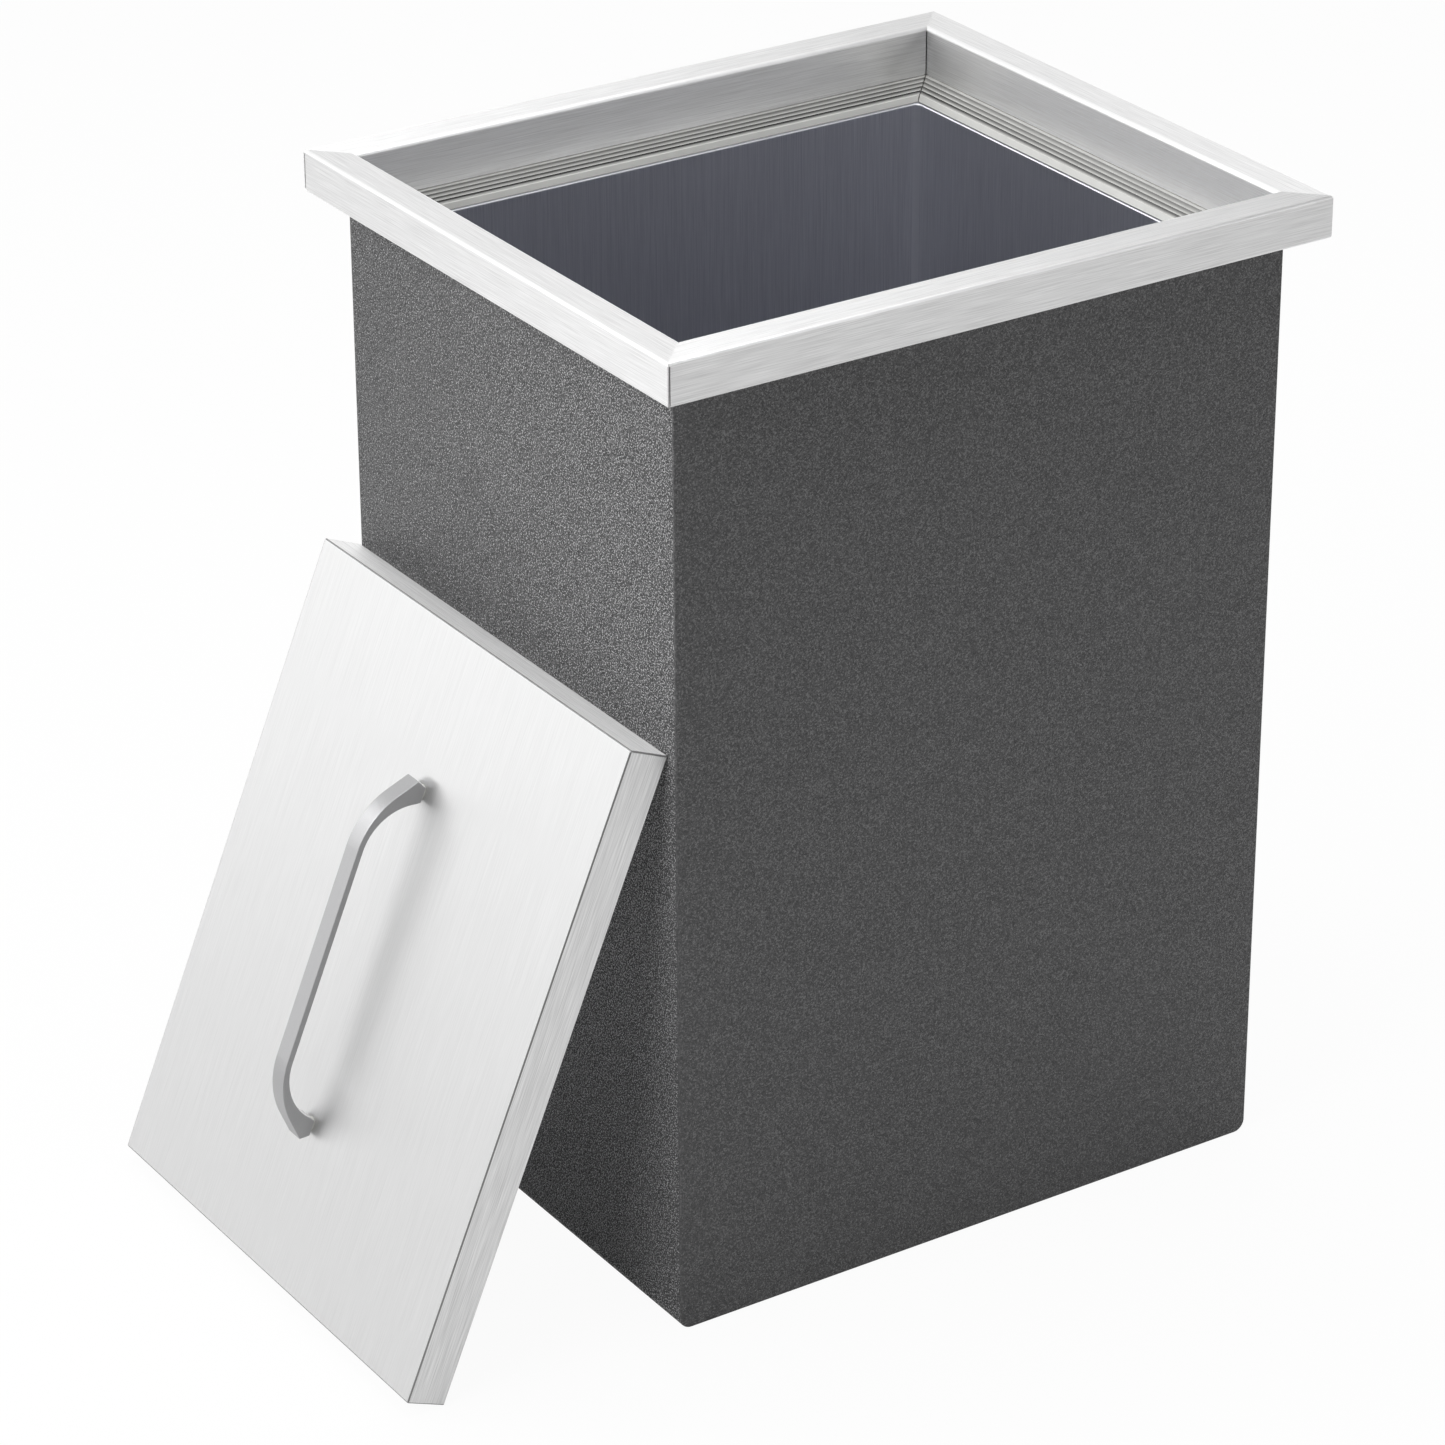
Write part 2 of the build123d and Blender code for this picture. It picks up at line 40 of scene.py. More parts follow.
def linear(hex_colour):
    """Turn an sRGB hex colour into linear RGBA: a straight line near black, a power of 2.4 above it."""
    channels = np.array([int(hex_colour[i:i + 2], 16) for i in (1, 3, 5)]) / 255
    curved = np.where(channels <= 0.04045, channels / 12.92, ((channels + 0.055) / 1.055) ** 2.4)
    return (*curved.tolist(), 1.0)


def new_material(name):
    """Start a material with an empty node tree, and return both."""
    material = bpy.data.materials.new(name)
    material.use_nodes = True
    tree = material.node_tree
    tree.nodes.clear()
    return material, tree


def add(tree, kind, settings=None, links=None):
    """Add a node to the tree.

    Settings with a lower case name are its properties, and the rest are the values of its inputs.
    Links feed its inputs from other nodes.
    """
    made = tree.nodes.new(kind)
    for name, value in (settings or {}).items():
        if isinstance(name, str) and name.islower():
            setattr(made, name, value)
        else:
            made.inputs[name].default_value = value
    for name, socket in (links or {}).items():
        tree.links.new(socket, made.inputs[name])
    return made


def wear(material, *names):
    """Give the material to every slot of these pieces."""
    for name in names:
        for slot in nodes[name].material_slots:
            slot.material = material


# A mix node has a pair of inputs and an output for numbers, for vectors and for colours, all under the
# same names, so they are picked by their place. Its share is how much of the second of a pair it takes.
mix_share = 0
first_number, second_number, mixed_number = 2, 3, 0
first_vector, second_vector, mixed_vector = 4, 5, 1
first_colour, second_colour, mixed_colour = 6, 7, 2

# Powder-coated steel: polyester powder, sprayed on and baked, which melts into a pebbled skin.
# It gives the eye a dark, faintly clouded grey, with painted shade in the hollows and scattered painted
# glints, pale flecks in its colour. Its glints are about 0.3 mm wide, and are drawn 0.7 mm wide so that
# they show.
# A noise mostly lies between its low and its high, and the painted glints turn pale near the top of
# theirs.
glint_size = 0.7 * millimetre
cloud_size = 45 * millimetre
half_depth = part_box("shell_back_panel")[1][1]
noise_low, noise_middle, noise_high = 0.38, 0.5, 0.62
pale_from, palest_from = 0.6, 0.72
hollow_roughness, crest_roughness = 0.34, 0.16


def powdered(name, pebble, pebble_height, glint, dull, bright, front=1.0, back=1.0):
    """A powder coat, whose pebbles are noise in steps of their width.

    The noise is the height of the relief, paints shade into the hollows and makes the crests glossier.
    A finer noise scatters painted glints, pale flecks in the colour, which also reflect more, from dull
    between them to bright on them. How far that noise swings about its middle runs evenly from the
    bin's front to its back.
    """
    material, tree = new_material(name)
    place = add(tree, "ShaderNodeTexCoord").outputs["Object"]
    pebbles = add(
        tree,
        "ShaderNodeTexNoise",
        {"Scale": 1 / pebble, "Detail": 3.0, "Roughness": 0.62, "Distortion": 0.6},
        {"Vector": place},
    )
    drift = add(tree, "ShaderNodeTexNoise", {"Scale": 1 / cloud_size, "Detail": 3.0}, {"Vector": place})
    clouded = add(
        tree,
        "ShaderNodeMix",
        {"data_type": "RGBA", first_colour: linear("#4B4B4C"), second_colour: linear("#535354")},
        {mix_share: drift.outputs["Fac"]},
    )
    crest = add(
        tree,
        "ShaderNodeMapRange",
        {"interpolation_type": "SMOOTHSTEP", "From Min": noise_low, "From Max": noise_high},
        {"Value": pebbles.outputs["Fac"]},
    )
    # Painted shade: the hollows take a darker grey than the crests.
    shaded = add(
        tree,
        "ShaderNodeMix",
        {"data_type": "RGBA", first_colour: linear("#3A3A3B")},
        {mix_share: crest.outputs[0], second_colour: clouded.outputs[mixed_colour]},
    )
    coordinates = add(tree, "ShaderNodeSeparateXYZ", None, {"Vector": place})
    swing = add(
        tree,
        "ShaderNodeMapRange",
        {"From Min": -half_depth, "From Max": half_depth, "To Min": front, "To Max": back},
        {"Value": coordinates.outputs["Y"]},
    )
    glints = add(tree, "ShaderNodeTexNoise", {"Scale": 1 / glint_size, "Detail": 0.0}, {"Vector": place})
    off_middle = add(
        tree,
        "ShaderNodeMath",
        {"operation": "SUBTRACT", 1: noise_middle},
        {0: glints.outputs["Fac"]},
    )
    spots = add(
        tree,
        "ShaderNodeMath",
        {"operation": "MULTIPLY_ADD", 2: noise_middle},
        {0: off_middle.outputs[0], 1: swing.outputs[0]},
    )
    # Painted glints: pale flecks in the base colour, which stand in for light caught by the grain.
    glinting = add(
        tree,
        "ShaderNodeMapRange",
        {"interpolation_type": "SMOOTHSTEP", "From Min": pale_from, "From Max": palest_from},
        {"Value": spots.outputs[0]},
    )
    tone = add(
        tree,
        "ShaderNodeMix",
        {"data_type": "RGBA", second_colour: linear(glint)},
        {mix_share: glinting.outputs[0], first_colour: shaded.outputs[mixed_colour]},
    )
    gloss = add(
        tree,
        "ShaderNodeMapRange",
        {"To Min": hollow_roughness, "To Max": crest_roughness},
        {"Value": pebbles.outputs["Fac"]},
    )
    shine = add(
        tree,
        "ShaderNodeMapRange",
        {
            "interpolation_type": "SMOOTHSTEP",
            "From Min": noise_low,
            "From Max": noise_high,
            "To Min": dull,
            "To Max": bright,
        },
        {"Value": spots.outputs[0]},
    )
    bump = add(
        tree,
        "ShaderNodeBump",
        {"Strength": 1.0, "Distance": pebble_height},
        {"Height": pebbles.outputs["Fac"]},
    )
    skin = add(
        tree,
        "ShaderNodeBsdfPrincipled",
        {"IOR": 1.5},
        {
            "Base Color": tone.outputs[mixed_colour],
            "Roughness": gloss.outputs[0],
            "Specular IOR Level": shine.outputs[0],
            "Normal": bump.outputs[0],
        },
    )
    add(tree, "ShaderNodeOutputMaterial", None, {"Surface": skin.outputs[0]})
    return material


# The coat lies heavier on the wrap, in coarser pebbles than on the panels, with much paler painted
# glints, a painted highlight of the light raking along its ends; these and its shine vary more towards
# its front.
wear(
    powdered(
        "powder_coated_wrap",
        pebble=1.5 * millimetre,
        pebble_height=1.2 * millimetre,
        glint="#A6A6A7",
        dull=0.0,
        bright=0.84,
        front=1.25,
        back=0.7,
    ),
    "shell_wrap",
)
wear(
    powdered(
        "powder_coated_panel",
        pebble=0.9 * millimetre,
        pebble_height=0.5 * millimetre,
        glint="#5E5E5F",
        dull=0.3,
        bright=0.72,
    ),
    "shell_front_panel",
    "shell_back_panel",
)


# Foam
# Rigid polyurethane, foamed in place between the shell and the liner and inside the lid.
# It is sealed in, and shows only where a piece is taken out.

# Rigid polyurethane foam: blown, which leaves it full of cells. It gives the eye a dry, pitted cream.
# Its cells are about 0.3 mm wide, and are drawn 1.2 mm wide so that they show.
cell = 1.2 * millimetre
cell_depth = 0.2 * millimetre
rigid_foam, tree = new_material("rigid_polyurethane_foam")
place = add(tree, "ShaderNodeTexCoord").outputs["Object"]
cells = add(tree, "ShaderNodeTexVoronoi", {"Scale": 1 / cell}, {"Vector": place})
tone = add(
    tree,
    "ShaderNodeMix",
    {"data_type": "RGBA", first_colour: linear("#CDB98A"), second_colour: linear("#E8DCB8")},
    {mix_share: cells.outputs["Distance"]},
)
bump = add(
    tree,
    "ShaderNodeBump",
    {"Strength": 0.6, "Distance": cell_depth},
    {"Height": cells.outputs["Distance"]},
)
skin = add(
    tree,
    "ShaderNodeBsdfPrincipled",
    {"Roughness": 0.9},
    {"Base Color": tone.outputs[mixed_colour], "Normal": bump.outputs[0]},
)
add(tree, "ShaderNodeOutputMaterial", None, {"Surface": skin.outputs[0]})
wear(rigid_foam, "body_foam", "lid_foam")


# Rim
# Four rails folded from stainless sheet: hem, skirt, flange and collar, mitred at the corners.
# Each is brushed along its own length before it is folded, so the lines turn at every mitre.

# Brushed stainless steel: ground by a belt in one direction, which leaves fine parallel scratches.
# They give the eye pale and dark streaks, and smear every reflection across their direction.
# The scratches are under 0.1 mm wide, and are drawn 0.45 mm wide so that they show.
# A surface is a fold, or a bend, by how far it is turned: from 0 on the sheet's face to 1 on a fold.
line_length = 30 * millimetre
line_width = 0.45 * millimetre
groove_depth = 0.02 * millimetre
darkest_grain, lightest_grain = 0.3, 0.7
quarter_turn = 0.25
fold_roughness = 0.2
fold_from = 0.6
bend_middle, bend_reach = 0.53, 0.43


def brushed(
    name,
    line,
    fold,
    light="#F2F2F2",
    dark="#D4D4D4",
    bend=None,
    smoothest=0.34,
    roughest=0.46,
    calm=0.0,
):
    """Brushed sheet, with lines along one direction, and along another on the folds that stand across it.

    The pattern is noise over the place divided by the line width, but by the line length for the part of
    the place that lies along the lines. It sets the tone, from dark to light, the gloss, from roughest to
    smoothest, and the shallow grooves. The folds across the lines are rougher all over.
    The grooves spread a reflection across the lines far more than along them, so the gloss is
    anisotropic: its tangent is the direction of the lines, turned a quarter round on the surface.
    Calm is the share of the tone and gloss pattern that is rubbed out of the face, and not of its folds.
    A bend, where the surface is turned part of the way from face to fold, is stretched smooth and has
    one tone: the light one where none is given. A darker tone given for it is a painted reflection of
    dark surroundings in the bend, as on the lid.
    """
    material, tree = new_material(name)
    place = add(tree, "ShaderNodeTexCoord").outputs["Object"]
    facing = add(tree, "ShaderNodeNewGeometry").outputs["True Normal"]
    across = add(tree, "ShaderNodeVectorMath", {"operation": "DOT_PRODUCT", 1: line}, {0: facing})
    across = add(tree, "ShaderNodeMath", {"operation": "ABSOLUTE"}, {0: across.outputs["Value"]})
    on_fold = add(
        tree,
        "ShaderNodeMath",
        {"operation": "GREATER_THAN", 1: fold_from},
        {0: across.outputs[0]},
    )
    turned = add(tree, "ShaderNodeVectorMath", {"operation": "DOT_PRODUCT", 1: fold}, {0: facing})
    turned = add(tree, "ShaderNodeMath", {"operation": "ABSOLUTE"}, {0: turned.outputs["Value"]})
    turned = add(
        tree,
        "ShaderNodeMath",
        {"operation": "MAXIMUM"},
        {0: turned.outputs[0], 1: across.outputs[0]},
    )
    on_bend = add(
        tree,
        "ShaderNodeMath",
        {"operation": "COMPARE", 1: bend_middle, 2: bend_reach},
        {0: turned.outputs[0]},
    )
    shown = add(
        tree,
        "ShaderNodeMath",
        {"operation": "MULTIPLY_ADD", 1: calm, 2: 1 - calm},
        {0: turned.outputs[0]},
    )
    lines = add(
        tree,
        "ShaderNodeMix",
        {"data_type": "VECTOR", first_vector: line, second_vector: fold},
        {mix_share: on_fold.outputs[0]},
    ).outputs[mixed_vector]
    reach = add(tree, "ShaderNodeVectorMath", {"operation": "DOT_PRODUCT"}, {0: place, 1: lines})
    reach = add(
        tree,
        "ShaderNodeMath",
        {"operation": "MULTIPLY", 1: 1 / line_length - 1 / line_width},
        {0: reach.outputs["Value"]},
    )
    stretch = add(
        tree,
        "ShaderNodeVectorMath",
        {"operation": "SCALE"},
        {0: lines, "Scale": reach.outputs[0]},
    )
    drawn = add(
        tree,
        "ShaderNodeVectorMath",
        {"operation": "MULTIPLY_ADD", 1: (1 / line_width,) * 3},
        {0: place, 2: stretch.outputs[0]},
    )
    grain = add(
        tree,
        "ShaderNodeTexNoise",
        {"Scale": 1.0, "Detail": 3.0, "Roughness": 0.6},
        {"Vector": drawn.outputs[0]},
    )
    level = add(
        tree,
        "ShaderNodeMapRange",
        {"From Min": darkest_grain, "From Max": lightest_grain},
        {"Value": grain.outputs["Fac"]},
    )
    level = add(
        tree,
        "ShaderNodeMix",
        {"data_type": "FLOAT", first_number: noise_middle},
        {mix_share: shown.outputs[0], second_number: level.outputs[0]},
    )
    tone = add(
        tree,
        "ShaderNodeMix",
        {"data_type": "RGBA", first_colour: linear(dark), second_colour: linear(light)},
        {mix_share: level.outputs[mixed_number]},
    )
    tone = add(
        tree,
        "ShaderNodeMix",
        {"data_type": "RGBA", second_colour: linear(bend or light)},
        {mix_share: on_bend.outputs[0], first_colour: tone.outputs[mixed_colour]},
    )
    gloss = add(
        tree,
        "ShaderNodeMapRange",
        {"To Min": roughest, "To Max": smoothest},
        {"Value": level.outputs[mixed_number]},
    )
    gloss = add(
        tree,
        "ShaderNodeMath",
        {"operation": "MULTIPLY_ADD", 1: fold_roughness},
        {0: on_fold.outputs[0], 2: gloss.outputs[0]},
    )
    bump = add(
        tree,
        "ShaderNodeBump",
        {"Strength": 0.5, "Distance": groove_depth},
        {"Height": grain.outputs["Fac"]},
    )
    skin = add(
        tree,
        "ShaderNodeBsdfPrincipled",
        {"Metallic": 1.0, "Anisotropic": 0.9, "Anisotropic Rotation": quarter_turn},
        {
            "Base Color": tone.outputs[mixed_colour],
            "Roughness": gloss.outputs[0],
            "Normal": bump.outputs[0],
            "Tangent": lines,
        },
    )
    add(tree, "ShaderNodeOutputMaterial", None, {"Surface": skin.outputs[0]})
    return material


lengthways, crossways, upright = (1.0, 0.0, 0.0), (0.0, 1.0, 0.0), (0.0, 0.0, 1.0)
wear(brushed("stainless_brushed_lengthways", lengthways, crossways), "rim_rail_front", "rim_rail_back")
wear(brushed("stainless_brushed_crossways", crossways, lengthways), "rim_rail_left", "rim_rail_right")


# Breaker strips
# Fluted strips of warm grey plastic between the collar and the liner, so that the rim stays dry.
# Extruded in lengths, sawn at the mitres, and pressed in before the liner goes on.

# Extruded ABS: drawn through a die, which leaves it smooth and softly glossy. It gives the eye a warm
# grey. A dark line of painted shade runs down each flute, for the shade under its ridge, deeper towards
# the liner, and the plain edges are a little darker. The edges of the opening are the inner faces of the
# rails' collars.
opening_half_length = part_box("rim_rail_right")[0][0]
opening_half_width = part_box("rim_rail_back")[0][1]
strip_band = 2.2 * millimetre
flute_pitch = 2.7 * millimetre
flute_count = 4
stain_size = 9 * millimetre
grit_size = 0.5 * millimetre
grit_height = 0.02 * millimetre
dust_full, dust_gone = 0.06, 0.85
outermost_dust, innermost_dust = 0.75, 1.0
edge_dust = 0.22
extruded, tree = new_material("extruded_abs")
place = add(tree, "ShaderNodeTexCoord").outputs["Object"]
stains = add(tree, "ShaderNodeTexNoise", {"Scale": 1 / stain_size, "Detail": 3.0}, {"Vector": place})
grit = add(tree, "ShaderNodeTexNoise", {"Scale": 1 / grit_size, "Detail": 2.0}, {"Vector": place})
clean = add(
    tree,
    "ShaderNodeMix",
    {"data_type": "RGBA", first_colour: linear("#B0B0AD"), second_colour: linear("#BEBEBB")},
    {mix_share: stains.outputs["Fac"]},
)

# How far a point lies inward from the nearest edge of the opening, past the plain band, is counted in
# flutes. The whole flutes tell which one it is in, and the rest how far across that one.
coordinates = add(tree, "ShaderNodeSeparateXYZ", None, {"Vector": place})
from_end = add(tree, "ShaderNodeMath", {"operation": "ABSOLUTE"}, {0: coordinates.outputs["X"]})
from_end = add(
    tree,
    "ShaderNodeMath",
    {"operation": "SUBTRACT", 0: opening_half_length},
    {1: from_end.outputs[0]},
)
from_side = add(tree, "ShaderNodeMath", {"operation": "ABSOLUTE"}, {0: coordinates.outputs["Y"]})
from_side = add(
    tree,
    "ShaderNodeMath",
    {"operation": "SUBTRACT", 0: opening_half_width},
    {1: from_side.outputs[0]},
)
inward = add(
    tree,
    "ShaderNodeMath",
    {"operation": "MINIMUM"},
    {0: from_end.outputs[0], 1: from_side.outputs[0]},
)
flute = add(
    tree,
    "ShaderNodeMath",
    {"operation": "MULTIPLY_ADD", 1: 1 / flute_pitch, 2: -strip_band / flute_pitch},
    {0: inward.outputs[0]},
)
across_flute = add(tree, "ShaderNodeMath", {"operation": "FRACT"}, {0: flute.outputs[0]})
# Painted shade: darkest just past the outer edge of each flute, and gone most of the way across it.
dust = add(
    tree,
    "ShaderNodeMapRange",
    {"From Min": dust_full, "From Max": dust_gone, "To Min": 1.0, "To Max": 0.0},
    {"Value": across_flute.outputs[0]},
)
deeper = add(
    tree,
    "ShaderNodeMapRange",
    {
        "From Min": 0.0,
        "From Max": flute_count - 1.0,
        "To Min": outermost_dust,
        "To Max": innermost_dust,
    },
    {"Value": flute.outputs[0]},
)
dust = add(tree, "ShaderNodeMath", {"operation": "MULTIPLY"}, {0: dust.outputs[0], 1: deeper.outputs[0]})
on_flutes = add(
    tree,
    "ShaderNodeMath",
    {"operation": "COMPARE", 1: flute_count / 2, 2: flute_count / 2},
    {0: flute.outputs[0]},
)
dust = add(
    tree,
    "ShaderNodeMix",
    {"data_type": "FLOAT", first_number: edge_dust},
    {mix_share: on_flutes.outputs[0], second_number: dust.outputs[0]},
)
# The painted shade, and the plain edges' darker tone, mix the strip's grey towards near black.
tone = add(
    tree,
    "ShaderNodeMix",
    {"data_type": "RGBA", second_colour: linear("#20201F")},
    {mix_share: dust.outputs[mixed_number], first_colour: clean.outputs[mixed_colour]},
)
bump = add(
    tree,
    "ShaderNodeBump",
    {"Strength": 0.3, "Distance": grit_height},
    {"Height": grit.outputs["Fac"]},
)
skin = add(
    tree,
    "ShaderNodeBsdfPrincipled",
    {"Roughness": 0.26, "IOR": 1.53},
    {"Base Color": tone.outputs[mixed_colour], "Normal": bump.outputs[0]},
)
add(tree, "ShaderNodeOutputMaterial", None, {"Surface": skin.outputs[0]})
wear(extruded, *(f"breaker_strip_{side}" for side in ("front", "back", "left", "right")))


# Inner liner
# A tub pressed from stainless sheet, with rounded corners and a floor that falls to the drain.
# The lid's inner pan and the drain's strainer are cut from the same sheet.

# Cold rolled stainless steel, as the mill leaves it: rolled, pickled, and rolled again lightly.
# It gives the eye a cold, bright metal, with soft rolling lines up the walls.
wear(
    brushed(
        "stainless_cold_rolled",
        upright,
        lengthways,
        light="#E6E7EC",
        dark="#D2D3DA",
        smoothest=0.44,
        roughest=0.54,
    ),
    "inner_liner",
    "lid_inner_pan",
    "drain_strainer",
)


# Floor drain
# A flanged brass bush through the floor, with a rubber seal under its flange and a locknut below.
# The rubber stopper closes its cup and is pulled out by its waisted grip.

# Nickel plated brass: turned, polished and plated.
# It gives the eye a smooth, warm white metal, with a gloss that is a little uneven.
plate_cloud = 5 * millimetre
plated, tree = new_material("nickel_plated_brass")
place = add(tree, "ShaderNodeTexCoord").outputs["Object"]
cloud = add(tree, "ShaderNodeTexNoise", {"Scale": 1 / plate_cloud, "Detail": 4.0}, {"Vector": place})
tone = add(
    tree,
    "ShaderNodeMix",
    {"data_type": "RGBA", first_colour: linear("#C9C4B8"), second_colour: linear("#DAD6CC")},
    {mix_share: cloud.outputs["Fac"]},
)
gloss = add(tree, "ShaderNodeMapRange", {"To Min": 0.14, "To Max": 0.3}, {"Value": cloud.outputs["Fac"]})
skin = add(
    tree,
    "ShaderNodeBsdfPrincipled",
    {"Metallic": 1.0},
    {"Base Color": tone.outputs[mixed_colour], "Roughness": gloss.outputs[0]},
)
add(tree, "ShaderNodeOutputMaterial", None, {"Surface": skin.outputs[0]})
wear(plated, "drain_bush", "drain_locknut")

# Nitrile rubber: moulded, with a grey bloom that comes to its skin. It gives the eye a soft near black.
bloom_size = 4 * millimetre
bloom_height = 0.05 * millimetre
rubber, tree = new_material("moulded_nitrile_rubber")
place = add(tree, "ShaderNodeTexCoord").outputs["Object"]
bloom = add(tree, "ShaderNodeTexNoise", {"Scale": 1 / bloom_size, "Detail": 4.0}, {"Vector": place})
tone = add(
    tree,
    "ShaderNodeMix",
    {"data_type": "RGBA", first_colour: linear("#1E1E1F"), second_colour: linear("#303031")},
    {mix_share: bloom.outputs["Fac"]},
)
bump = add(
    tree,
    "ShaderNodeBump",
    {"Strength": 0.4, "Distance": bloom_height},
    {"Height": bloom.outputs["Fac"]},
)
skin = add(
    tree,
    "ShaderNodeBsdfPrincipled",
    {"Roughness": 0.6, "IOR": 1.52},
    {"Base Color": tone.outputs[mixed_colour], "Normal": bump.outputs[0]},
)
add(tree, "ShaderNodeOutputMaterial", None, {"Surface": skin.outputs[0]})
wear(rubber, "drain_seal", "drain_stopper")


# Lid
# A shallow pan folded from the rim's brushed stainless, closed by a smaller pan and filled with foam.
# It is brushed along its length, up the slope as it leans on the bin, and across on its end folds.

# The lid lifts straight out from its face, so the slope is a quarter turn from the way it lifts.
outward = next(joint["axis"] for joint in frame["joints"] if joint["name"] == "lid_lift")
upslope = (outward[2], 0.0, -outward[0])
# The lid's bends take a dark grey: a painted reflection of the dark room in front, which they mirror.
wear(
    brushed(
        "stainless_brushed_lid",
        upslope,
        crossways,
        light="#F7F7F7",
        dark="#D3D3D3",
        bend="#8E8E8E",
        smoothest=0.35,
        roughest=0.44,
        calm=0.75,
    ),
    "lid_outer_pan",
)


# Lid handle
# A flat arch pull on two low nylon spacers, held from inside by two plated screws with washers.
# Its ends thicken towards the feet, and their outer faces are cut off square.

# Satin aluminium: a bar bent, blasted with fine beads and anodised. It gives the eye an even, soft grey.
# The blasted pits are about 0.1 mm wide, and are drawn 0.5 mm wide so that they show.
pit = 0.5 * millimetre
satin, tree = new_material("satin_aluminium")
place = add(tree, "ShaderNodeTexCoord").outputs["Object"]
pits = add(tree, "ShaderNodeTexNoise", {"Scale": 1 / pit, "Detail": 3.0}, {"Vector": place})
tone = add(
    tree,
    "ShaderNodeMix",
    {"data_type": "RGBA", first_colour: linear("#A4A4A5"), second_colour: linear("#B4B4B5")},
    {mix_share: pits.outputs["Fac"]},
)
gloss = add(tree, "ShaderNodeMapRange", {"To Min": 0.3, "To Max": 0.42}, {"Value": pits.outputs["Fac"]})
skin = add(
    tree,
    "ShaderNodeBsdfPrincipled",
    {"Metallic": 1.0},
    {"Base Color": tone.outputs[mixed_colour], "Roughness": gloss.outputs[0]},
)
add(tree, "ShaderNodeOutputMaterial", None, {"Surface": skin.outputs[0]})
wear(satin, "lid_handle")

wear(plated, "handle_screws", "screw_washers")

# Natural nylon: moulded without pigment. It gives the eye a milky, waxy pale grey with faint flow marks.
flow_mark = 2 * millimetre
nylon, tree = new_material("natural_nylon")
place = add(tree, "ShaderNodeTexCoord").outputs["Object"]
marks = add(tree, "ShaderNodeTexNoise", {"Scale": 1 / flow_mark, "Detail": 3.0}, {"Vector": place})
tone = add(
    tree,
    "ShaderNodeMix",
    {"data_type": "RGBA", first_colour: linear("#B9B9B4"), second_colour: linear("#CFCFCA")},
    {mix_share: marks.outputs["Fac"]},
)
skin = add(
    tree,
    "ShaderNodeBsdfPrincipled",
    {"Roughness": 0.5, "IOR": 1.53},
    {"Base Color": tone.outputs[mixed_colour]},
)
add(tree, "ShaderNodeOutputMaterial", None, {"Surface": skin.outputs[0]})
wear(nylon, "handle_spacers")


# Studio
# A pale floor in a room that is bright behind the object and dark in front; the camera sees both white.
# A large lamp stands at the back left with a small one above it, others overhead, left and front right.
# The camera stands where the photograph was taken from.

floor_half = 14.0
floor_mesh = bpy.data.meshes.new("studio_floor")
floor_mesh.from_pydata(
    [
        (-floor_half, -floor_half, 0),
        (floor_half, -floor_half, 0),
        (floor_half, floor_half, 0),
        (-floor_half, floor_half, 0),
    ],
    [],
    [(0, 1, 2, 3)],
)
floor = bpy.data.objects.new("studio_floor", floor_mesh)
bpy.context.scene.collection.objects.link(floor)

# Matt paper: uncoated, so it only scatters light. Rays from the camera find most of it glowing white,
# and rays that mirror or pass through a piece find a part of it so. The rest keeps the object's shadow.
camera_white = 0.95
mirror_white = 0.3
white = (1.0, 1.0, 1.0, 1.0)
paper, tree = new_material("matt_paper")
matt = add(tree, "ShaderNodeBsdfDiffuse", {"Color": linear("#C8C8C8")})
glow = add(tree, "ShaderNodeEmission", {"Color": white, "Strength": 1.0})
ray = add(tree, "ShaderNodeLightPath")
mirrored = add(
    tree,
    "ShaderNodeMath",
    {"operation": "ADD"},
    {0: ray.outputs["Is Glossy Ray"], 1: ray.outputs["Is Transmission Ray"]},
)
dimmed = add(
    tree,
    "ShaderNodeMath",
    {"operation": "MULTIPLY", 1: mirror_white},
    {0: mirrored.outputs[0]},
)
share = add(
    tree,
    "ShaderNodeMath",
    {"operation": "MULTIPLY_ADD", 1: camera_white},
    {0: ray.outputs["Is Camera Ray"], 2: dimmed.outputs[0]},
)
both = add(
    tree,
    "ShaderNodeMixShader",
    None,
    {0: share.outputs[0], 1: matt.outputs[0], 2: glow.outputs[0]},
)
add(tree, "ShaderNodeOutputMaterial", None, {"Surface": both.outputs[0]})
floor_mesh.materials.append(paper)

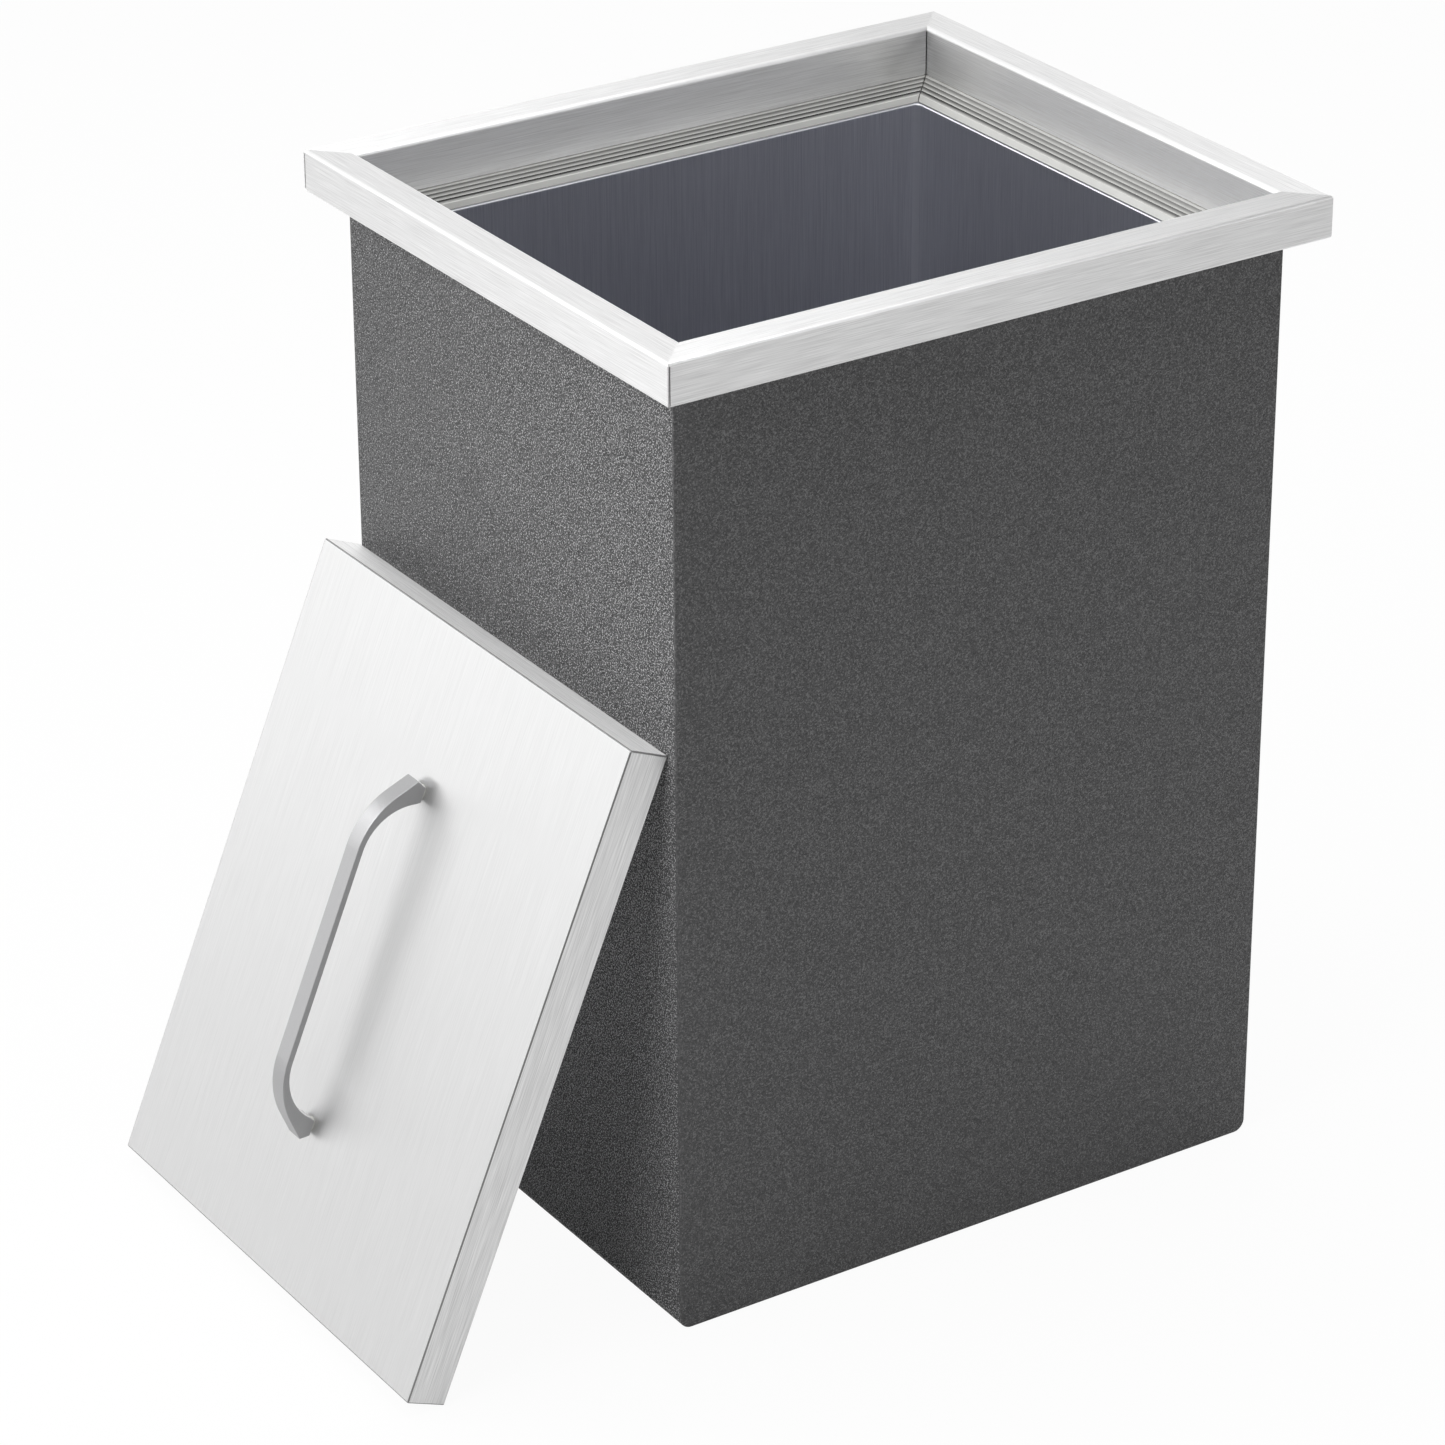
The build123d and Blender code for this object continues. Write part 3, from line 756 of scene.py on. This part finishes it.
# The room's light rises from front to back, by how much of a ray's direction points backwards.
front_light, back_light = 0.22, 1.0
darkest_from, brightest_from = -0.3, 0.7
world = bpy.data.worlds.new("studio")
bpy.context.scene.world = world
world.use_nodes = True
tree = world.node_tree
tree.nodes.clear()
towards = add(tree, "ShaderNodeTexCoord").outputs["Generated"]
backwards = add(tree, "ShaderNodeSeparateXYZ", None, {"Vector": towards}).outputs["Y"]
level = add(
    tree,
    "ShaderNodeMapRange",
    {
        "interpolation_type": "SMOOTHSTEP",
        "From Min": darkest_from,
        "From Max": brightest_from,
        "To Min": front_light,
        "To Max": back_light,
    },
    {"Value": backwards},
)
ray = add(tree, "ShaderNodeLightPath")
level = add(
    tree,
    "ShaderNodeMix",
    {"data_type": "FLOAT", second_number: 1.0},
    {mix_share: ray.outputs["Is Camera Ray"], first_number: level.outputs[0]},
)
backdrop = add(
    tree,
    "ShaderNodeBackground",
    {"Color": white},
    {"Strength": level.outputs[mixed_number]},
)
add(tree, "ShaderNodeOutputWorld", None, {"Surface": backdrop.outputs[0]})

bin_middle = Vector((0.0, 0.0, 0.25))


def softbox(name, place, size, power):
    """A square area lamp that looks from its place towards the middle of the bin."""
    lamp = bpy.data.lights.new(name, "AREA")
    lamp.shape = "SQUARE"
    lamp.size = size
    lamp.energy = power
    holder = bpy.data.objects.new(name, lamp)
    holder.location = place
    holder.rotation_euler = (bin_middle - Vector(place)).to_track_quat("-Z", "Y").to_euler()
    bpy.context.scene.collection.objects.link(holder)


softbox("key_back_left", place=(-2.3, 1.5, 1.3), size=2.5, power=18.0)
softbox("accent_back_left", place=(-1.48, 1.21, 1.68), size=0.4, power=8.0)
softbox("overhead", place=(0.12, 0.1, 2.6), size=2.0, power=48.0)
softbox("side_left", place=(-2.2, -0.5, 1.9), size=1.4, power=44.0)
softbox("fill_front_right", place=(1.35, -2.1, 1.15), size=1.0, power=5.0)

camera_place = (-1.28706, -1.89671, 1.34276)
camera_turn_degrees = (63.7199, 0.2261, -33.2251)
camera = bpy.data.cameras.new("camera")
camera.sensor_width = 36.0
camera.lens = 133.25
camera.clip_end = 50.0
holder = bpy.data.objects.new("camera", camera)
holder.location = camera_place
holder.rotation_euler = [radians(angle) for angle in camera_turn_degrees]
bpy.context.scene.collection.objects.link(holder)
bpy.context.scene.camera = holder

bpy.context.scene.view_settings.view_transform = "Standard"
